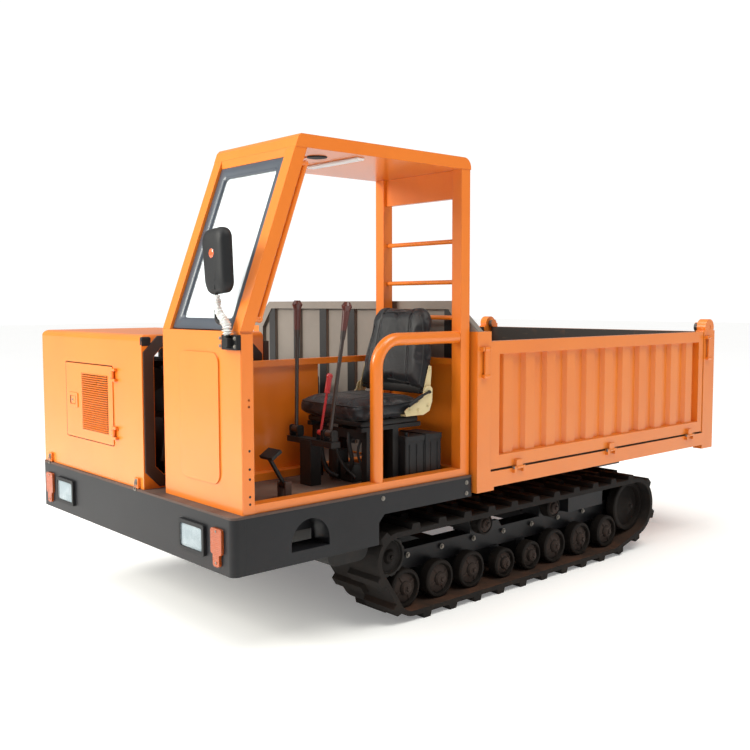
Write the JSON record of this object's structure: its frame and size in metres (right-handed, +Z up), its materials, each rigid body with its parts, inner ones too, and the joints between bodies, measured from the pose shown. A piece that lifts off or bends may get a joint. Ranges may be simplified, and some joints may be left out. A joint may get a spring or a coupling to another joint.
{
  "type": "tracked power carrier",
  "caption": "Rubber-tracked power barrow with an open driver's cab, engine hood and a tipping load box with drop sides and a top-hung tailgate.",
  "frame": {"origin": "on the ground, at the centre of the machine's overall box", "axes": "+X to the driver's left (the boarding side), front faces -Y, +Z up"},
  "size_m": [1.942, 3.666, 2.1706],
  "materials": {
    "orange_paint": "semi-gloss orange paint, lightly dusty",
    "chassis_paint": "dark grey chassis paint",
    "drab_paint": "worn grey-brown paint",
    "track_rubber": "ribbed black rubber with dry dust",
    "roller_steel": "dusty cast steel with a brown film",
    "sprocket_steel": "dark cast steel",
    "engine_black": "black engine enamel",
    "black_plastic": "grained black plastic",
    "black_steel": "black powder coat",
    "clear_glass": "clear laminated glass",
    "seat_fabric": "dark grey woven upholstery",
    "lever_knob": "dark red-brown grip on a black rod",
    "red_plastic": "red moulded grip",
    "amber_plastic": "ribbed amber lens",
    "lamp_housing": "black lamp housing",
    "cylinder_paint": "black cylinder paint",
    "chrome_rod": "hard chrome"
  },
  "bodies": {
    "base": {"chassis_frame": "chassis_paint", "track_frame_left": "chassis_paint", "track_frame_right": "chassis_paint", "belt_left": "track_rubber", "belt_right": "track_rubber", "bumper_skirt": "chassis_paint", "deck_plate": "drab_paint", "engine": "engine_black", "tanks": "black_steel", "cab_frame": "orange_paint", "cab_front_panel": "orange_paint", "cab_roof": "orange_paint", "windscreen": "clear_glass", "mirror_bracket": "black_steel", "seat_stand": "black_steel", "battery": "black_plastic", "headlamps": "lamp_housing", "signal_lamps": "amber_plastic"},
    "sprocket_left": {"sprocket_left": "sprocket_steel"},
    "idler_left": {"idler_left": "roller_steel"},
    "roller_left_1": {"roller_left_1": "roller_steel"},
    "roller_left_2": {"roller_left_2": "roller_steel"},
    "roller_left_3": {"roller_left_3": "roller_steel"},
    "roller_left_4": {"roller_left_4": "roller_steel"},
    "roller_left_5": {"roller_left_5": "roller_steel"},
    "roller_left_6": {"roller_left_6": "roller_steel"},
    "roller_left_7": {"roller_left_7": "roller_steel"},
    "roller_left_8": {"roller_left_8": "roller_steel"},
    "carrier_left_1": {"carrier_left_1": "roller_steel"},
    "carrier_left_2": {"carrier_left_2": "roller_steel"},
    "sprocket_right": {"sprocket_right": "sprocket_steel"},
    "idler_right": {"idler_right": "roller_steel"},
    "roller_right_1": {"roller_right_1": "roller_steel"},
    "roller_right_2": {"roller_right_2": "roller_steel"},
    "roller_right_3": {"roller_right_3": "roller_steel"},
    "roller_right_4": {"roller_right_4": "roller_steel"},
    "roller_right_5": {"roller_right_5": "roller_steel"},
    "roller_right_6": {"roller_right_6": "roller_steel"},
    "roller_right_7": {"roller_right_7": "roller_steel"},
    "roller_right_8": {"roller_right_8": "roller_steel"},
    "carrier_right_1": {"carrier_right_1": "roller_steel"},
    "carrier_right_2": {"carrier_right_2": "roller_steel"},
    "hood": {"engine_hood": "orange_paint"},
    "hood_door": {"hood_door": "orange_paint"},
    "mirror_head": {"mirror_head": "black_plastic"},
    "seat": {"seat_cushion": "seat_fabric"},
    "seat_back": {"seat_back": "seat_fabric"},
    "travel_lever_left": {"travel_lever_left": "lever_knob"},
    "travel_lever_right": {"travel_lever_right": "lever_knob"},
    "dump_lever": {"dump_lever": "red_plastic"},
    "brake_pedal": {"brake_pedal": "black_steel"},
    "load_box": {"dump_bed": "orange_paint", "headboard": "drab_paint"},
    "side_gate_left": {"side_gate_left": "orange_paint"},
    "gate_latches_left": {"gate_latches_left": "black_steel"},
    "side_gate_right": {"side_gate_right": "orange_paint"},
    "gate_latches_right": {"gate_latches_right": "black_steel"},
    "tailgate": {"tailgate": "orange_paint"},
    "lift_cylinder": {"lift_cylinder": "cylinder_paint"},
    "lift_rod": {"lift_rod": "chrome_rod"}
  },
  "joints": [
    {"name": "sprocket_left_spin", "type": "hinge", "parent": "base", "child": "sprocket_left", "pos_m": [0.701, -0.912, 0.314], "axis": [1, 0, 0], "continuous": true},
    {"name": "idler_left_spin", "type": "hinge", "parent": "base", "child": "idler_left", "pos_m": [0.701, 1.042, 0.264], "axis": [1, 0, 0], "continuous": true},
    {"name": "roller_left_1_spin", "type": "hinge", "parent": "base", "child": "roller_left_1", "pos_m": [0.701, -0.807, 0.143], "axis": [1, 0, 0], "continuous": true},
    {"name": "roller_left_2_spin", "type": "hinge", "parent": "base", "child": "roller_left_2", "pos_m": [0.701, -0.57554, 0.143], "axis": [1, 0, 0], "continuous": true},
    {"name": "roller_left_3_spin", "type": "hinge", "parent": "base", "child": "roller_left_3", "pos_m": [0.701, -0.34571, 0.143], "axis": [1, 0, 0], "continuous": true},
    {"name": "roller_left_4_spin", "type": "hinge", "parent": "base", "child": "roller_left_4", "pos_m": [0.701, -0.0898, 0.128], "axis": [1, 0, 0], "continuous": true},
    {"name": "roller_left_5_spin", "type": "hinge", "parent": "base", "child": "roller_left_5", "pos_m": [0.701, 0.12699, 0.128], "axis": [1, 0, 0], "continuous": true},
    {"name": "roller_left_6_spin", "type": "hinge", "parent": "base", "child": "roller_left_6", "pos_m": [0.701, 0.33074, 0.143], "axis": [1, 0, 0], "continuous": true},
    {"name": "roller_left_7_spin", "type": "hinge", "parent": "base", "child": "roller_left_7", "pos_m": [0.701, 0.56709, 0.143], "axis": [1, 0, 0], "continuous": true},
    {"name": "roller_left_8_spin", "type": "hinge", "parent": "base", "child": "roller_left_8", "pos_m": [0.701, 0.823, 0.143], "axis": [1, 0, 0], "continuous": true},
    {"name": "carrier_left_1_spin", "type": "hinge", "parent": "base", "child": "carrier_left_1", "pos_m": [0.701, -0.24465, 0.359], "axis": [1, 0, 0], "continuous": true},
    {"name": "carrier_left_2_spin", "type": "hinge", "parent": "base", "child": "carrier_left_2", "pos_m": [0.701, 0.3177, 0.359], "axis": [1, 0, 0], "continuous": true},
    {"name": "sprocket_right_spin", "type": "hinge", "parent": "base", "child": "sprocket_right", "pos_m": [-0.701, -0.912, 0.314], "axis": [1, 0, 0], "continuous": true},
    {"name": "idler_right_spin", "type": "hinge", "parent": "base", "child": "idler_right", "pos_m": [-0.701, 1.042, 0.264], "axis": [1, 0, 0], "continuous": true},
    {"name": "roller_right_1_spin", "type": "hinge", "parent": "base", "child": "roller_right_1", "pos_m": [-0.701, -0.807, 0.143], "axis": [1, 0, 0], "continuous": true},
    {"name": "roller_right_2_spin", "type": "hinge", "parent": "base", "child": "roller_right_2", "pos_m": [-0.701, -0.57554, 0.143], "axis": [1, 0, 0], "continuous": true},
    {"name": "roller_right_3_spin", "type": "hinge", "parent": "base", "child": "roller_right_3", "pos_m": [-0.701, -0.34571, 0.143], "axis": [1, 0, 0], "continuous": true},
    {"name": "roller_right_4_spin", "type": "hinge", "parent": "base", "child": "roller_right_4", "pos_m": [-0.701, -0.0898, 0.128], "axis": [1, 0, 0], "continuous": true},
    {"name": "roller_right_5_spin", "type": "hinge", "parent": "base", "child": "roller_right_5", "pos_m": [-0.701, 0.12699, 0.128], "axis": [1, 0, 0], "continuous": true},
    {"name": "roller_right_6_spin", "type": "hinge", "parent": "base", "child": "roller_right_6", "pos_m": [-0.701, 0.33074, 0.143], "axis": [1, 0, 0], "continuous": true},
    {"name": "roller_right_7_spin", "type": "hinge", "parent": "base", "child": "roller_right_7", "pos_m": [-0.701, 0.56709, 0.143], "axis": [1, 0, 0], "continuous": true},
    {"name": "roller_right_8_spin", "type": "hinge", "parent": "base", "child": "roller_right_8", "pos_m": [-0.701, 0.823, 0.143], "axis": [1, 0, 0], "continuous": true},
    {"name": "carrier_right_1_spin", "type": "hinge", "parent": "base", "child": "carrier_right_1", "pos_m": [-0.701, -0.24465, 0.359], "axis": [1, 0, 0], "continuous": true},
    {"name": "carrier_right_2_spin", "type": "hinge", "parent": "base", "child": "carrier_right_2", "pos_m": [-0.701, 0.3177, 0.359], "axis": [1, 0, 0], "continuous": true},
    {"name": "hood_lift", "type": "hinge", "parent": "base", "child": "hood", "pos_m": [-0.372, -1.142, 1.321], "axis": [-1, 0, 0], "range_deg": [0, 60]},
    {"name": "hood_door_swing", "type": "hinge", "parent": "hood", "child": "hood_door", "pos_m": [-0.088, -1.814, 1.004], "axis": [0, 0, 1], "range_deg": [0, 110]},
    {"name": "mirror_turn", "type": "hinge", "parent": "base", "child": "mirror_head", "pos_m": [0.79, -1.794, 1.652], "axis": [0, 0, 1], "range_deg": [-25, 25]},
    {"name": "seat_slide", "type": "slide", "parent": "base", "child": "seat", "axis": [0, 1, 0], "range_m": [-0.03, 0.04]},
    {"name": "seat_recline", "type": "hinge", "parent": "seat", "child": "seat_back", "pos_m": [0.6005, -0.665, 1.065], "axis": [1, 0, 0], "range_deg": [-6, 40]},
    {"name": "travel_lever_left_push", "type": "hinge", "parent": "base", "child": "travel_lever_left", "pos_m": [0.7255, -1.17, 0.9], "axis": [1, 0, 0], "range_deg": [-5, 25], "stiffness_Nm_per_rad": 20},
    {"name": "travel_lever_right_push", "type": "hinge", "parent": "base", "child": "travel_lever_right", "pos_m": [0.4755, -1.17, 0.9], "axis": [1, 0, 0], "range_deg": [-14, 16], "stiffness_Nm_per_rad": 20},
    {"name": "dump_lever_push", "type": "hinge", "parent": "base", "child": "dump_lever", "pos_m": [0.6575, -1.17, 0.9], "axis": [1, 0, 0], "range_deg": [-3, 20], "stiffness_Nm_per_rad": 8},
    {"name": "brake_pedal_press", "type": "hinge", "parent": "base", "child": "brake_pedal", "pos_m": [0.7505, -1.444, 0.71], "axis": [1, 0, 0], "range_deg": [0, 18], "stiffness_Nm_per_rad": 25, "springref_deg": -11.46},
    {"name": "box_tip", "type": "hinge", "parent": "base", "child": "load_box", "pos_m": [0, 1.604, 0.5], "axis": [-1, 0, 0], "range_deg": [0, 45]},
    {"name": "side_gate_left_drop", "type": "hinge", "parent": "load_box", "child": "side_gate_left", "pos_m": [0.958, 0.6785, 0.657], "axis": [0, 1, 0], "range_deg": [0, 165]},
    {"name": "gate_latches_left_lift", "type": "hinge", "parent": "load_box", "child": "gate_latches_left", "pos_m": [0.96, 0.7, 1.262], "axis": [0, -1, 0], "range_deg": [0, 110]},
    {"name": "side_gate_right_drop", "type": "hinge", "parent": "load_box", "child": "side_gate_right", "pos_m": [-0.958, 0.6785, 0.657], "axis": [0, -1, 0], "range_deg": [0, 165]},
    {"name": "gate_latches_right_lift", "type": "hinge", "parent": "load_box", "child": "gate_latches_right", "pos_m": [-0.96, 0.7, 1.262], "axis": [0, 1, 0], "range_deg": [0, 110]},
    {"name": "tailgate_swing", "type": "hinge", "parent": "load_box", "child": "tailgate", "pos_m": [0, 1.757, 1.325], "axis": [1, 0, 0], "range_deg": [0, 60]},
    {"name": "lift_cylinder_swing", "type": "hinge", "parent": "base", "child": "lift_cylinder", "pos_m": [0, 0.354, 0.43], "axis": [1, 0, 0], "range_deg": [0, 10.84]},
    {"name": "lift_rod_extend", "type": "slide", "parent": "lift_cylinder", "child": "lift_rod", "axis": [0, 0.9897, 0.143], "range_m": [0, 0.1963]}
  ],
  "couplings": [
    {"joint": "idler_left_spin", "follows": "sprocket_left_spin", "ratio": 0.66667},
    {"joint": "roller_left_1_spin", "follows": "sprocket_left_spin", "ratio": 1.0753},
    {"joint": "roller_left_2_spin", "follows": "sprocket_left_spin", "ratio": 1.0753},
    {"joint": "roller_left_3_spin", "follows": "sprocket_left_spin", "ratio": 1.0753},
    {"joint": "roller_left_4_spin", "follows": "sprocket_left_spin", "ratio": 1.2821},
    {"joint": "roller_left_5_spin", "follows": "sprocket_left_spin", "ratio": 1.2821},
    {"joint": "roller_left_6_spin", "follows": "sprocket_left_spin", "ratio": 1.0753},
    {"joint": "roller_left_7_spin", "follows": "sprocket_left_spin", "ratio": 1.0753},
    {"joint": "roller_left_8_spin", "follows": "sprocket_left_spin", "ratio": 1.0753},
    {"joint": "carrier_left_1_spin", "follows": "sprocket_left_spin", "ratio": 1.8182},
    {"joint": "carrier_left_2_spin", "follows": "sprocket_left_spin", "ratio": 1.8182},
    {"joint": "idler_right_spin", "follows": "sprocket_right_spin", "ratio": 0.66667},
    {"joint": "roller_right_1_spin", "follows": "sprocket_right_spin", "ratio": 1.0753},
    {"joint": "roller_right_2_spin", "follows": "sprocket_right_spin", "ratio": 1.0753},
    {"joint": "roller_right_3_spin", "follows": "sprocket_right_spin", "ratio": 1.0753},
    {"joint": "roller_right_4_spin", "follows": "sprocket_right_spin", "ratio": 1.2821},
    {"joint": "roller_right_5_spin", "follows": "sprocket_right_spin", "ratio": 1.2821},
    {"joint": "roller_right_6_spin", "follows": "sprocket_right_spin", "ratio": 1.0753},
    {"joint": "roller_right_7_spin", "follows": "sprocket_right_spin", "ratio": 1.0753},
    {"joint": "roller_right_8_spin", "follows": "sprocket_right_spin", "ratio": 1.0753},
    {"joint": "carrier_right_1_spin", "follows": "sprocket_right_spin", "ratio": 1.8182},
    {"joint": "carrier_right_2_spin", "follows": "sprocket_right_spin", "ratio": 1.8182},
    {"joint": "lift_cylinder_swing", "follows": "box_tip", "ratio": 0.2397},
    {"joint": "lift_rod_extend", "follows": "box_tip", "m_per_rad": 0.24936}
  ]
}
